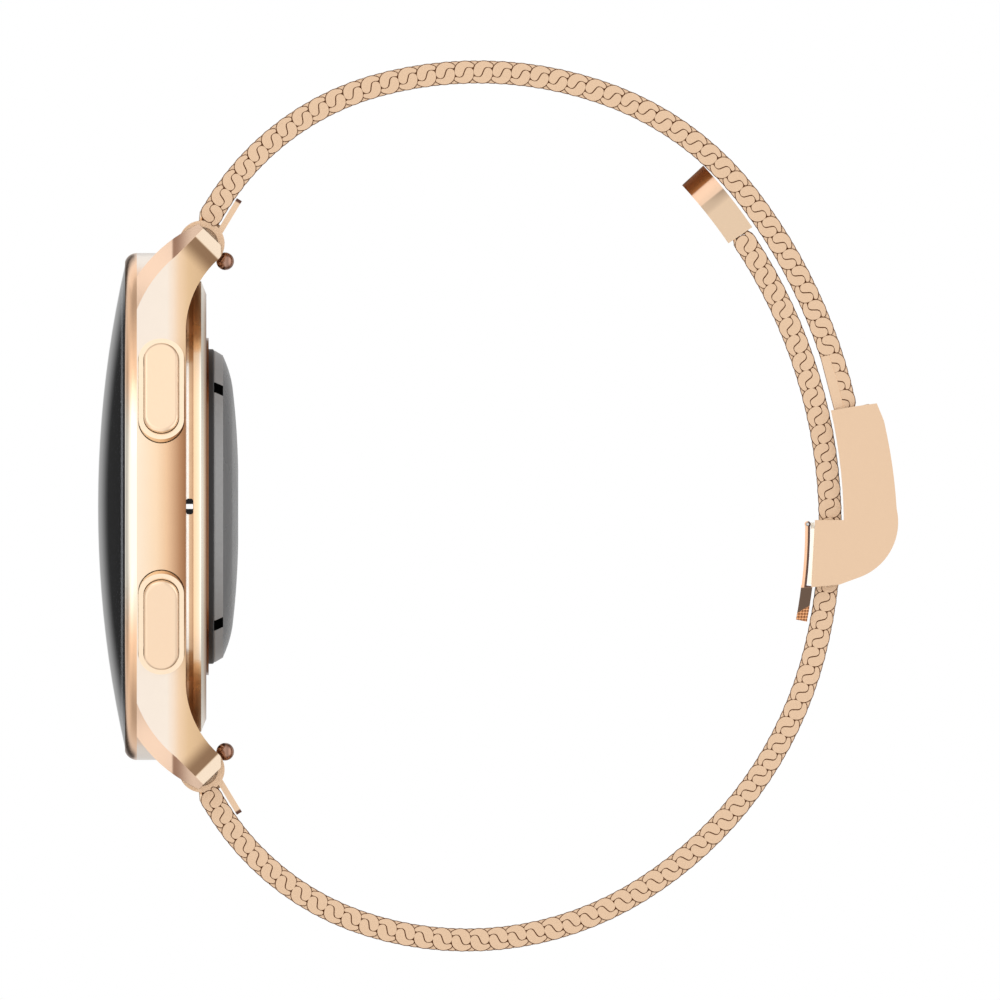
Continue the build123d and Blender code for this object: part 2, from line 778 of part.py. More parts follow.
for hour, (start, heading, runs) in ends.items():
    up = 1 if hour == 12 else -1
    bar = (-bar_h, up * bar_z)
    knob_way = -up * knob_angle
    knob_plane = Plane(
        origin=(knob_x, bar[0], bar[1]),
        x_dir=(1, 0, 0),
        z_dir=(0, cos(radians(knob_way)), sin(radians(knob_way))),
    )

    with BuildPart() as mesh:
        with BuildSketch(side):
            draw_band(start, heading, runs, -strap_t / 2, strap_t / 2)
        extrude(amount=strap_w / 2, both=True)
    finish(mesh, f"strap_{hour}_mesh")

    with BuildPart() as end_piece:
        with BuildSketch(side):
            with Locations(bar):
                Circle(barrel_r)
        extrude(amount=barrel_w / 2, both=True)
        with BuildSketch(side):
            with BuildLine():
                inner = left_of(start, heading, -up * (strap_t / 2 + flap_gap))
                mesh_in = left_of(start, heading, -up * strap_t / 2)
                mesh_out = left_of(start, heading, up * web_t / 2)
                Polyline(
                    bar,
                    ahead_of(mesh_out, heading, -1.2),
                    mesh_out,
                    mesh_in,
                    inner,
                    ahead_of(inner, heading, -0.9),
                    close=True,
                )
            make_face()
        extrude(amount=web_w / 2, both=True)
        with BuildSketch(side):
            draw_band(
                ahead_of(start, heading, -0.9),
                heading,
                [(flap_len + 0.9, 0)],
                -up * (strap_t / 2 + flap_gap + flap_t),
                -up * (strap_t / 2 + flap_gap),
            )
        extrude(amount=strap_w / 2 - 0.1, both=True)
        with BuildSketch(side):
            with Locations(bar):
                Circle(barrel_bore_r)
        extrude(amount=barrel_w, both=True, mode=Mode.SUBTRACT)
        for end in (-1, 1):
            with BuildSketch(side.offset(end * (barrel_w / 2 - counterbore_in))):
                with Locations(bar):
                    Circle(counterbore_r)
            extrude(amount=end * counterbore_in, mode=Mode.SUBTRACT)
        with BuildSketch(knob_plane.offset(barrel_r - 0.65)):
            with Locations((-release_travel / 2, 0)):
                RectangleRounded(release_travel + 2 * knob_r + 0.3, 2 * knob_r + 0.2, 0.6)
        extrude(amount=4, mode=Mode.SUBTRACT)
        with BuildSketch(knob_plane):
            with Locations((-release_travel / 2, 0)):
                SlotOverall(release_travel + 2 * neck_rod_r + 0.2, 2 * neck_rod_r + 0.16)
        extrude(amount=4, mode=Mode.SUBTRACT)
    finish(end_piece, f"strap_{hour}_end_piece")

    with BuildPart() as bar_tube:
        with BuildSketch(side.offset(-tube_len / 2)):
            with Locations(bar):
                Circle(bar_r)
        extrude(amount=tube_len)
        with BuildSketch(side.offset(-pin_end)):
            with Locations(bar):
                Circle(bar_tip_r)
        extrude(amount=pin_end - tube_len / 2)
        with BuildSketch(side):
            with Locations(bar):
                Circle(tube_bore_r)
        extrude(amount=piston_end + 0.05, mode=Mode.SUBTRACT)
        with BuildSketch(side):
            with Locations(bar):
                Circle(bar_tip_r + 0.03)
        extrude(amount=tube_len, mode=Mode.SUBTRACT)
        with BuildSketch(knob_plane):
            with Locations((-release_travel / 2, 0)):
                SlotOverall(release_travel + 2 * neck_rod_r + 0.2, 2 * neck_rod_r + 0.12)
        extrude(amount=2, mode=Mode.SUBTRACT)
    finish(bar_tube, f"strap_{hour}_bar_tube")

    with BuildPart() as release_pin:
        with BuildSketch(side.offset(piston_end - piston_len)):
            with Locations(bar):
                Circle(piston_r)
        extrude(amount=piston_len)
        with BuildSketch(side.offset(piston_end)):
            with Locations(bar):
                Circle(bar_tip_r)
        extrude(amount=pin_end - piston_end)
        with BuildSketch(knob_plane):
            Circle(neck_rod_r)
        extrude(amount=knob_reach)
        with Locations(knob_plane.offset(knob_reach).location):
            Sphere(knob_r)
    finish(release_pin, f"strap_{hour}_release_pin")

    spring_len = piston_end - piston_len - 0.3
    with BuildPart() as bar_spring:
        with BuildLine():
            coil = Helix(
                pitch=spring_len / spring_turns,
                height=spring_len,
                radius=0.42,
                center=(0.15, bar[0], bar[1]),
                direction=(1, 0, 0),
            )
        with BuildSketch(Plane(origin=coil @ 0, z_dir=coil % 0)):
            Circle(0.09)
        sweep(is_frenet=True)
    finish(bar_spring, f"strap_{hour}_bar_spring")

with BuildPart() as strap_6_tip:
    with BuildSketch(side):
        tip_turn = degrees(tip_len / adjust_r)
        draw_band(lower_end, lower_end_heading, [(adjust_r, tip_turn)], -tip_t / 2, tip_t / 2)
    extrude(amount=strap_w / 2, both=True)
    free_end = strap_6_tip.faces().sort_by(Axis.Z)[-1]
    corners = free_end.edges().filter_by(lambda e: abs(e.center().X) > strap_w / 2 - 0.1)
    fillet(corners, radius=3.0)
finish(strap_6_tip, "strap_6_tip")

# ---------------------------------------------------------------- clasp end and pin

side_in = strap_w / 2 + clasp_wall + clasp_side_gap
side_out = side_in + clasp_wall
knuckle_w = side_in - 0.1
pin = (clasp_pin_y, clasp_pin_z)

with BuildPart() as strap_12_clasp_end:
    with BuildSketch(side):
        draw_band(
            upper_end,
            upper_end_heading,
            [(clasp_end_len, 0)],
            -strap_t / 2 + 0.05,
            strap_t / 2 - 0.05,
        )
        with BuildLine():
            shoulder = left_of(upper_end, upper_end_heading, strap_t / 2 - 0.3)
            Polyline(
                ahead_of(shoulder, upper_end_heading, 0.6),
                left_of(pin, upper_end_heading - 60, knuckle_r),
                left_of(pin, upper_end_heading - 60, -knuckle_r),
                ahead_of(upper_end, upper_end_heading, clasp_end_len),
                close=True,
            )
        make_face()
        with Locations(pin):
            Circle(knuckle_r)
    extrude(amount=strap_w / 2, both=True)
    with BuildSketch(side):
        with Locations(pin):
            Circle(clasp_pin_r)
    extrude(amount=side_out, both=True, mode=Mode.SUBTRACT)
finish(strap_12_clasp_end, "strap_12_clasp_end")

with BuildPart() as clasp_pin:
    with BuildSketch(side):
        with Locations(pin):
            Circle(clasp_pin_r)
    extrude(amount=side_out - pin_skin - fit_gap, both=True)
finish(clasp_pin, "clasp_pin")

# ---------------------------------------------------------------- clasp cover and hook

strap_out_r = adjust_r + strap_t / 2
strap_in_r = adjust_r - strap_t / 2


def on_arc(radius, z):
    """The point of the slider's arc circle, of a given radius, at a height z."""
    return (adjust_centre[0] + sqrt(radius**2 - (z - adjust_centre[1]) ** 2), z)


cover_gap = 0.15
cover_bottom = slider_top_z - slider_len
cover_top = [(52.5, 8.52), (54.15, 8.75)]
cover_crown = [(54.75, 7.30), (55.45, 3.60), (55.84, -0.20)]
cover_heel = [(54.98, -4.30), (52.70, -6.00), (51.00, -6.62)]
wing_gap = slider_inner_gap


def cover_outline():
    step_in = on_arc(strap_in_r - wing_gap, slider_top_z)
    step_out = on_arc(strap_out_r + cover_gap, slider_top_z)
    top_in = on_arc(strap_out_r + cover_gap, 8.15)
    low_in = on_arc(strap_in_r - wing_gap, cover_bottom)
    with BuildLine() as outline:
        Polyline(top_in, cover_top[0], cover_top[1], cover_crown[0])
        ThreePointArc(*cover_crown)
        ThreePointArc(cover_crown[2], cover_heel[0], cover_heel[1])
        Polyline(cover_heel[1], cover_heel[2], low_in, step_in, step_out)
        RadiusArc(step_out, top_in, -(strap_out_r + cover_gap), short_sagitta=True)
    make_face(outline.edges())


def cover_room():
    """The hollow between the cover's sides, open towards the strap and at the top."""
    inset = clasp_plate_t
    top = pin[1] - knuckle_r - 0.1
    with BuildLine() as outline:
        Polyline(
            (cover_heel[2][0] + 0.1, cover_bottom - 1.0),
            (47.0, cover_bottom - 1.0),
            (47.0, 10.0),
            (56.0, 10.0),
            (56.0, top),
            (cover_crown[0][0] - inset + 0.05, top),
        )
        ThreePointArc(
            (cover_crown[0][0] - inset + 0.05, top),
            (cover_crown[1][0] - inset, cover_crown[1][1]),
            (cover_crown[2][0] - inset, cover_crown[2][1]),
        )
        ThreePointArc(
            (cover_crown[2][0] - inset, cover_crown[2][1]),
            (cover_heel[0][0] - inset, cover_heel[0][1] + 0.2),
            (cover_heel[1][0] - 0.3, cover_heel[1][1] + inset),
        )
        Line((cover_heel[1][0] - 0.3, cover_heel[1][1] + inset), (cover_heel[2][0] + 0.1, cover_bottom - 1.0))
    make_face(outline.edges())


with BuildPart() as clasp_cover:
    with BuildSketch(side) as cover_face:
        cover_outline()
        fillet(cover_face.vertices().sort_by(Axis.Z)[-1], radius=0.45)
    extrude(amount=side_out, both=True)
    with BuildSketch(side):
        cover_room()
    extrude(amount=side_in, both=True, mode=Mode.SUBTRACT)
    with BuildSketch(side):
        with Locations(pin):
            Circle(clasp_pin_r + 0.04)
    extrude(amount=side_out - pin_skin, both=True, mode=Mode.SUBTRACT)
finish(clasp_cover, "clasp_cover")

bridge_low_z = slider_top_z - 2.1
bridge_out_r = strap_out_r + bridge_gap + bridge_t
hook_top_z = bridge_low_z - hook_play
hook_tip_y = on_arc(bridge_out_r, bridge_low_z)[0] - hook_catch
hook_t = 0.85
hook_root_y = cover_heel[0][0] - 0.3

with BuildPart() as clasp_hook:
    with BuildSketch(side):
        with BuildLine():
            Polyline(
                (hook_tip_y, hook_top_z),
                (hook_tip_y + 0.5, hook_top_z),
                (hook_root_y, hook_top_z + 0.3),
                (hook_root_y - 0.95, hook_top_z - hook_t - 0.4),
                (hook_tip_y + 0.5, hook_top_z - hook_t),
                (hook_tip_y, hook_top_z - hook_t + 0.35),
                close=True,
            )
        make_face()
    extrude(amount=hook_w / 2, both=True)
    add(clasp_cover.part, mode=Mode.SUBTRACT)
finish(clasp_hook, "clasp_hook")

# ---------------------------------------------------------------- slider and its lever


def sector(inner_r, outer_r, high_z, low_z):
    """The face between two circles about the slider's arc centre and two heights on its strap."""
    mid_r = adjust_r
    angles = [asin((z - adjust_centre[1]) / mid_r) for z in (low_z, high_z)]
    span = angles[1] - angles[0]
    corners = [
        [
            (adjust_centre[0] + r * cos(a), adjust_centre[1] + r * sin(a))
            for a in (angles[0], angles[0] + span / 2, angles[1])
        ]
        for r in (inner_r, outer_r)
    ]
    with BuildLine() as outline:
        ThreePointArc(*corners[0])
        ThreePointArc(*corners[1])
        Line(corners[0][0], corners[1][0])
        Line(corners[0][2], corners[1][2])
    make_face(outline.edges())


slider_bottom_z = slider_top_z - slider_len
frame_half = side_in - clasp_side_gap
passage_half = frame_half - slider_wall
inner_wall_r = (strap_in_r - slider_inner_gap - slider_inner_t, strap_in_r - slider_inner_gap)
lever_pin_z = slider_top_z - 0.35
lever_out_r = inner_wall_r[0] - fit_gap
lever_pin = on_arc(lever_out_r - lever_t / 2, lever_pin_z)
lever_knuckle_r = lever_t / 2 + 0.05
knuckle_half = 6.0
lever_room = lever_pin_z - lever_knuckle_r - 0.12

with BuildPart() as slider_frame:
    with BuildSketch(side):
        sector(inner_wall_r[0], adjust_r, slider_top_z - 0.1, slider_bottom_z + 0.1)
        sector(adjust_r - 1, strap_out_r + bridge_gap, slider_top_z - 0.1, slider_bottom_z + 0.45)
    extrude(amount=frame_half, both=True)
    with BuildSketch(side):
        sector(strap_out_r, bridge_out_r, slider_top_z - 2.1 + bridge_len, slider_top_z - 2.1)
    extrude(amount=frame_half, both=True)
    with BuildSketch(side):
        sector(inner_wall_r[1], strap_out_r + bridge_gap, slider_top_z + 1, slider_bottom_z - 1)
    extrude(amount=passage_half, both=True, mode=Mode.SUBTRACT)
    with BuildSketch(side):
        sector(inner_wall_r[0] - 1, inner_wall_r[1] + 0.02, slider_top_z + 1, lever_room)
    extrude(amount=frame_half + 1, both=True, mode=Mode.SUBTRACT)
    with BuildSketch(side):
        with Locations(lever_pin):
            Circle(lever_knuckle_r)
        sector(lever_out_r - lever_t / 2, inner_wall_r[1] - 0.05, lever_pin_z + 0.15, lever_pin_z - 0.15)
        sector(inner_wall_r[0], inner_wall_r[1] - 0.05, lever_pin_z, lever_room - 0.5)
    extrude(amount=knuckle_half, both=True)
    with BuildSketch(side):
        with Locations(lever_pin):
            Circle(lever_pin_r)
    extrude(amount=knuckle_half, both=True, mode=Mode.SUBTRACT)
finish(slider_frame, "slider_frame")

with BuildPart() as slider_pin:
    with BuildSketch(side):
        with Locations(lever_pin):
            Circle(lever_pin_r)
    extrude(amount=frame_half, both=True)
finish(slider_pin, "slider_pin")

with BuildPart() as slider_lever:
    for end in (-1, 1):
        with BuildSketch(side.offset(end * (knuckle_half + 0.1))):
            with Locations(lever_pin):
                Circle(lever_knuckle_r)
        extrude(amount=end * (frame_half - knuckle_half - 0.15))
    with BuildSketch(side):
        sector(lever_out_r - lever_t, lever_out_r, lever_pin_z, slider_bottom_z - 0.2)
    extrude(amount=frame_half - 0.05, both=True)
    with BuildSketch(side):
        sector(
            strap_in_r - lever_tab_gap - lever_tab_t,
            strap_in_r - lever_tab_gap,
            slider_bottom_z - 0.05,
            slider_bottom_z - 0.05 - lever_tab_len,
        )
    extrude(amount=frame_half - 0.05, both=True)
    with BuildSketch(side):
        with Locations(lever_pin):
            Circle(lever_knuckle_r + 0.1)
    extrude(amount=knuckle_half + 0.1, both=True, mode=Mode.SUBTRACT)
    with BuildSketch(side):
        with Locations(lever_pin):
            Circle(lever_pin_r + 0.04)
    extrude(amount=frame_half + 1, both=True, mode=Mode.SUBTRACT)
finish(slider_lever, "slider_lever")
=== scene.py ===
import bpy
import math
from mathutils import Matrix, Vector


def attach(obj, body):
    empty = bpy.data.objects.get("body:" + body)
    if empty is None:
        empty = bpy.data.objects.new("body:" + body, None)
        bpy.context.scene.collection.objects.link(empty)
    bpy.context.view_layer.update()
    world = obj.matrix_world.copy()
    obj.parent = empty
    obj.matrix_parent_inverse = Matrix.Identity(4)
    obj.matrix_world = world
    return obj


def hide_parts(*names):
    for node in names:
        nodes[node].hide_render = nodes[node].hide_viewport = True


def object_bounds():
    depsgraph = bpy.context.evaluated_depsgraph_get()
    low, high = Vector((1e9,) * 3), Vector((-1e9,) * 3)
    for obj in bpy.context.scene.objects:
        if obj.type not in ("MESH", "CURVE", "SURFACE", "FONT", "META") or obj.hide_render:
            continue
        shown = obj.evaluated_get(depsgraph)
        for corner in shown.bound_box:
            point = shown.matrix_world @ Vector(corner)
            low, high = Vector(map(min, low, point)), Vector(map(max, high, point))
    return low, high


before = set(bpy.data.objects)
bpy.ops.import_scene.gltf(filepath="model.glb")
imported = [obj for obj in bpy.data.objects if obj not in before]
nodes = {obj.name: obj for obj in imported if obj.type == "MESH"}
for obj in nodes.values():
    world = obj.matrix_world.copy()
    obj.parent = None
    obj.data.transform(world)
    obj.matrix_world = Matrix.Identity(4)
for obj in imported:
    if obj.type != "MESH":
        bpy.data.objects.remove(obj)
cad_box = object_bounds()
MM = 0.001

# ---------------------------------------------------------------- case band
# The case middle is one forging of stainless steel with its four lugs, turned and milled,
# polished, and coated rose gold. Its colour carries painted shade, light at the dial side and
# brown towards the wrist, with a painted highlight and a painted shadow near the lug tips.


class Shade:
    """A value in a finish: arithmetic on it adds Math nodes, and add() makes any other node."""

    def __init__(self, tree, socket=None):
        self.tree = tree
        self.socket = socket

    def add(self, kind, settings=None, inputs=None, output=0):
        """A shader node of any kind: its settings first, then the values or links it takes."""
        node = self.tree.nodes.new("ShaderNode" + kind)
        for name, value in (settings or {}).items():
            if name == "stops":
                while len(node.color_ramp.elements) < len(value):
                    node.color_ramp.elements.new(0.5)
                for stop, (at, colour) in zip(node.color_ramp.elements, value):
                    stop.position = at
                    stop.color = (*colour, 1)
            else:
                setattr(node, name, value)
        for name, value in (inputs or {}).items():
            self.put(node.inputs[name], value)
        return Shade(self.tree, node.outputs[output])

    def put(self, target, value):
        """Links a value to a socket, or sets a plain number or colour on it."""
        if isinstance(value, Shade):
            self.tree.links.new(value.socket, target)
        elif isinstance(value, tuple) and len(value) == 3 and target.type == "RGBA":
            target.default_value = (*value, 1)
        else:
            target.default_value = value

    def maths(self, operation, first, second=0.0):
        """A Math node on one or two values."""
        return self.add("Math", {"operation": operation}, {0: first, 1: second})

    def __add__(self, other):
        return self.maths("ADD", self, other)

    def __sub__(self, other):
        return self.maths("SUBTRACT", self, other)

    def __rsub__(self, other):
        return self.maths("SUBTRACT", other, self)

    def __mul__(self, other):
        return self.maths("MULTIPLY", self, other)

    def __pow__(self, other):
        return self.maths("POWER", self, other)

    __radd__ = __add__
    __rmul__ = __mul__

    def absolute(self):
        return self.maths("ABSOLUTE", self)

    def blend(self, first, second):
        """A colour that goes from the first to the second as this value goes from 0 to 1."""
        return self.add("Mix", {"data_type": "RGBA"}, {0: self, 6: first, 7: second}, output=2)

    def ramp(self, low, high):
        """0 where this value is at low, 1 where it is at high, smooth between them."""
        return self.add(
            "MapRange",
            {"interpolation_type": "SMOOTHSTEP"},
            {"Value": self, "From Min": low, "From Max": high},
        )

    def ramp_even(self, low, high):
        """0 where this value is at low, 1 where it is at high, in a straight line between."""
        return self.add("MapRange", None, {"Value": self, "From Min": low, "From Max": high})

    def place(self, axis):
        """The object's own X, Y or Z in metres at each point."""
        spot = self.add("TexCoord", output="Object")
        return self.add("SeparateXYZ", inputs={0: spot}, output="XYZ".index(axis))

    def grain(self, scale, stretch=(1, 1, 1), detail=3.0):
        """A noise from 0 to 1, drawn out along one axis by stretch."""
        spot = self.add("TexCoord", output="Object")
        drawn = self.add("VectorMath", {"operation": "MULTIPLY"}, {0: spot, 1: stretch})
        return self.add(
            "TexNoise", inputs={"Vector": drawn, "Scale": scale, "Detail": detail}
        )

    def bump(self, height, distance, normal=None):
        """Fine relief of a depth in metres, on the mesh's own normal or on the one given."""
        relief = {"Height": height, "Distance": distance}
        if normal:
            relief["Normal"] = normal
        return self.add("Bump", inputs=relief)


def finish(name, paint):
    """A material whose surface takes the sockets that paint(shade) returns."""
    material = bpy.data.materials.new(name)
    material.use_nodes = True
    tree = material.node_tree
    surface = tree.nodes["Principled BSDF"]
    shade = Shade(tree)
    for socket, value in paint(shade).items():
        shade.put(surface.inputs[socket], value)
    return material


def coat(material, *names):
    """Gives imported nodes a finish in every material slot."""
    for name in names:
        mesh = nodes[name].data
        mesh.materials.clear()
        mesh.materials.append(material)


band_front = -8.60 * MM
band_rear = -4.45 * MM
lug_root = 16.15 * MM
lug_end = 19.00 * MM
lug_tip = 20.50 * MM
# How far in from the edge of the lug tip the painted highlight reaches.
tip_highlight_w = 0.90 * MM
bevel_line = 26.50 * MM


def band_finish(shade):
    """Painted shade from dial side to wrist side, eased into the lugs, painted light at tips."""
    across = shade.place("Y")
    up = shade.place("Z").absolute()
    wear = shade.grain(900)
    # Painted shade on the middle of the band: light at the dial side, brown towards the wrist.
    middle = shade.add(
        "ValToRGB",
        {
            "stops": [
                (0.0, (0.86, 0.71, 0.55)), (0.40, (0.84, 0.62, 0.42)), (0.61, (0.75, 0.49, 0.30)),
                (0.88, (0.42, 0.22, 0.115)), (1.0, (0.30, 0.14, 0.065)),
            ]
        },
        {0: across.ramp_even(band_front, band_rear)},
    )
    # The same painted shade on the lugs, over a shorter depth.
    lugs = shade.add(
        "ValToRGB",
        {
            "stops": [
                (0.0, (0.80, 0.70, 0.605)), (0.32, (0.81, 0.71, 0.61)), (0.39, (0.80, 0.64, 0.50)),
                (0.45, (0.76, 0.55, 0.37)), (0.55, (0.67, 0.46, 0.27)), (1.0, (0.45, 0.28, 0.15)),
            ]
        },
        {0: across.ramp_even(band_front, band_front + 8 * MM)},
    )
    tone = up.ramp(8 * MM, 15 * MM).blend(middle, lugs)
    from_tip = (lug_tip - (across + up)) * math.sqrt(0.5)
    lug = up.ramp(lug_end - 0.5 * MM, lug_end + 0.5 * MM)
    facing = shade.add("NewGeometry", output="Normal")
    aside = shade.add("SeparateXYZ", inputs={0: facing}, output=0).absolute()
    side = shade.place("X")
    flat = shade.add("CombineXYZ", inputs={0: shade.maths("SIGN", side), 1: 0.0, 2: 0.0})
    round_part = 1 - up.ramp(lug_root - 0.03 * MM, lug_root + 0.03 * MM)
    below_bevel = 1 - (up - across).ramp(bevel_line - 0.05 * MM, bevel_line + 0.05 * MM)
    near_tip = up.ramp(19.7 * MM, 20.0 * MM) * below_bevel
    eased = (up.ramp(9 * MM, 15.8 * MM) * round_part + near_tip) * aside.ramp(0.60, 0.64)
    facing = shade.add("Mix", {"data_type": "VECTOR"}, {0: eased, 4: facing, 5: flat}, 1)
    flank = (aside + eased).ramp(0.90, 0.98)
    # A painted shadow on the flank just in from the tip, and a painted highlight along its edge.
    shadow = from_tip.ramp(tip_highlight_w - 0.12 * MM, tip_highlight_w + 0.05 * MM)
    shadow = shadow * (1 - from_tip.ramp(1.45 * MM, 2.9 * MM)) * lug * flank
    tone = (shadow * 0.88).blend(tone, (0.20, 0.11, 0.06))
    painted_tip_highlight = (1 - from_tip.ramp(tip_highlight_w - 0.15 * MM, tip_highlight_w + 0.05 * MM)) * lug
    tone = (painted_tip_highlight * flank).blend(tone, (0.80, 0.65, 0.50))
    bevel = (1 - flank) * aside.ramp(0.3, 0.4)
    bevel = bevel * up.ramp(lug_root - 0.25 * MM, lug_root + 0.05 * MM)
    tone = bevel.blend(tone, (0.90, 0.64, 0.47))
    # A painted dark reflection on the bevel near the lug tip.
    bevel_painted_reflection = across.ramp(-5.70 * MM, -5.45 * MM) * (1 - across.ramp(-5.4 * MM, -3.6 * MM))
    tone = (bevel_painted_reflection * (1 - flank) * lug * 0.85).blend(tone, (0.26, 0.12, 0.07))
    return {
        "Base Color": tone,
        "Metallic": 1.0,
        "Roughness": 0.16 + wear * 0.10,
        "Normal": shade.bump(shade.grain(5000), 0.000004, facing),
    }


coat(finish("gold_band", band_finish), "case_band")

# ---------------------------------------------------------------- bezel
# A polished ring that holds the glass, pressed on the case middle. A long cream highlight is
# painted into its colour in the middle of the flank, turning orange towards 12 and 6 o'clock.


def bezel_finish(shade):
    wear = shade.grain(1200)
    up = shade.place("Z").absolute()
    # Painted highlight: cream near the middle of the flank, orange above and below.
    return {
        "Base Color": up.ramp(5 * MM, 12 * MM).blend((1.0, 0.92, 0.78), (0.88, 0.55, 0.34)),
        "Metallic": 1.0,
        "Roughness": 0.14 + wear * 0.08,
        "Normal": shade.bump(shade.grain(5000), 0.000003),
    }


coat(finish("gold_bezel", bezel_finish), "bezel_ring")

# ---------------------------------------------------------------- glass and display
# The cover glass is a shallow dome, printed black underneath round the display, with a
# polished rim that carries a painted grey highlight. The display and the adhesive are black
# behind it.


dome_top = 11.90
dome_r = 92.5
rim_at = -9.86 * MM


def glass_finish(shade):
    """Black and glossy. The dome takes the normals of its own sphere, so it mirrors cleanly."""
    smear = shade.grain(220, (1, 1, 1), 5.0)
    across = shade.place("Y")
    # A painted highlight: a grey line round the rim of the glass.
    rim = across.ramp(rim_at - 0.12 * MM, rim_at - 0.06 * MM)
    rim = rim * (1 - across.ramp(rim_at + 0.06 * MM, rim_at + 0.12 * MM))
    ink = (smear * 0.5).blend((0.006, 0.006, 0.007), (0.016, 0.016, 0.018))
    facing = shade.add("NewGeometry", output="Normal")
    crown = 0 - shade.add("SeparateXYZ", inputs={0: facing}, output=1)
    spot = shade.add("TexCoord", output="Object")
    centre = (0.0, (dome_r - dome_top) * MM, 0.0)
    domed = shade.add("VectorMath", {"operation": "SUBTRACT"}, {0: spot, 1: centre})
    domed = shade.add("VectorMath", {"operation": "NORMALIZE"}, {0: domed})
    facing = shade.add(
        "Mix", {"data_type": "VECTOR"}, {0: crown.ramp(0.93, 0.95), 4: facing, 5: domed}, 1
    )
    return {
        "Base Color": rim.blend(ink, (0.30, 0.31, 0.33)),
        "Roughness": 0.05 + smear * 0.05,
        "Coat Weight": 1.0,
        "Coat Roughness": 0.02,
        "IOR": 1.52,
        "Normal": facing,
    }


coat(finish("black_glass", glass_finish), "cover_glass", "display_panel", "glass_adhesive")

# ---------------------------------------------------------------- inside the case
# A moulded frame carries the board, battery, speaker and vibration motor. Nothing of them
# shows with the case shut.


def board_finish(shade):
    track = shade.grain(2600, (1, 1, 1), 2.0).ramp(0.48, 0.52)
    return {
        "Base Color": track.blend((0.01, 0.07, 0.04), (0.02, 0.13, 0.07)),
        "Roughness": 0.35 + track * 0.2,
    }


def steel_finish(shade):
    grain = shade.grain(1500, (1, 12, 1))
    return {
        "Base Color": grain.blend((0.50, 0.50, 0.51), (0.68, 0.67, 0.66)),
        "Metallic": 1.0,
        "Roughness": 0.22 + grain * 0.2,
        "Normal": shade.bump(grain, 0.00001),
    }


def moulded_finish(shade):
    grain = shade.grain(3500)
    return {
        "Base Color": (grain * 0.6).blend((0.022, 0.022, 0.023), (0.05, 0.05, 0.052)),
        "Roughness": 0.42 + grain * 0.2,
        "Normal": shade.bump(grain, 0.00001),
    }


def foil_finish(shade):
    crease = shade.grain(260, (1, 1, 1), 4.0)
    return {
        "Base Color": crease.blend((0.45, 0.45, 0.47), (0.66, 0.66, 0.68)),
        "Metallic": 1.0,
        "Roughness": 0.3 + crease * 0.15,
        "Normal": shade.bump(crease, 0.00006),
    }


def flex_finish(shade):
    tracks = shade.grain(900, (8, 1, 1), 1.0).ramp(0.45, 0.55)
    return {
        "Base Color": tracks.blend((0.22, 0.09, 0.02), (0.42, 0.20, 0.05)),
        "Roughness": 0.3 + tracks * 0.2,
    }


steel = finish("drawn_steel", steel_finish)
moulded = finish("moulded_black", moulded_finish)
coat(finish("board_green", board_finish), "main_board", "sensor_board")
coat(finish("flex_amber", flex_finish), "display_flex", "key_flex")
coat(finish("cell_foil", foil_finish), "battery")
coat(moulded, "inner_frame", "speaker")
coat(
    steel,
    "board_shields", "haptic_case", "haptic_rotor", "charging_magnets", "key_switches",
    "upper_pusher_spring", "lower_pusher_spring", "upper_pusher_clip", "lower_pusher_clip",
    "back_screws",
)

# ---------------------------------------------------------------- microphone port
# A turned chrome bush pressed into the groove between the pushers; the microphone listens
# through its bore. A bright highlight band across its middle, and dark reflections above and
# below it, are painted into its colour.

highlight_half = 0.20 * MM


def port_finish(shade):
    up = shade.place("Z").absolute()
    # Painted highlight across the middle, painted dark reflection above and below it.
    painted_highlight_band = 1 - up.ramp(highlight_half - 0.04 * MM, highlight_half + 0.04 * MM)
    grain = shade.grain(1500)
    return {
        "Base Color": painted_highlight_band.blend((0.015, 0.015, 0.016), (0.95, 0.94, 0.92)),
        "Metallic": 1.0,
        "Roughness": 0.10 + grain * 0.08,
    }


coat(finish("port_chrome", port_finish), "microphone_bush")

# ---------------------------------------------------------------- back cover
# The back is a turned steel ring with a sharp polished chamfer, coated like the band. Four
# screws hold it to the band over a rubber seal.

back_front = -4.45 * MM
back_rear = -2.70 * MM


def back_finish(shade):
    across = shade.place("Y").ramp_even(back_front, back_rear)
    wear = shade.grain(1200)
    # Painted light and shade by depth: a white groove line, a cream highlight, a dark edge line.
    tone = shade.add(
        "ValToRGB",
        {
            "stops": [
                (0.0, (0.50, 0.28, 0.16)), (0.05, (1.0, 0.94, 0.88)), (0.13, (1.0, 0.92, 0.82)),
                (0.18, (0.70, 0.46, 0.28)), (0.36, (0.58, 0.35, 0.20)), (0.39, (0.92, 0.62, 0.38)),
                (0.62, (0.98, 0.74, 0.52)), (0.72, (1.0, 0.92, 0.80)), (0.84, (1.0, 0.88, 0.70)),
                (0.93, (0.72, 0.46, 0.28)), (1.0, (0.22, 0.10, 0.05)),
            ]
        },
        {0: across},
    )
    return {
        "Base Color": tone,
        "Metallic": 1.0,
        "Roughness": 0.15 + wear * 0.1,
        "Normal": shade.bump(shade.grain(5000), 0.000003),
    }


coat(finish("gold_back", back_finish), "back_cover")
coat(moulded, "back_seal", "pusher_seals")

# ---------------------------------------------------------------- wrist sensor
# A black moulded base, a grey ring with four dull black inserts that stand in for dark
# reflections on it, and a smoked domed lens over the emitters. The lens is what lies on the skin.


def sensor_ring_finish(shade):
    grain = shade.grain(3000)
    return {
        "Base Color": grain.blend((0.30, 0.30, 0.30), (0.36, 0.36, 0.36)),
        "Roughness": 0.3 + grain * 0.15,
        "Normal": shade.bump(grain, 0.000006),
    }


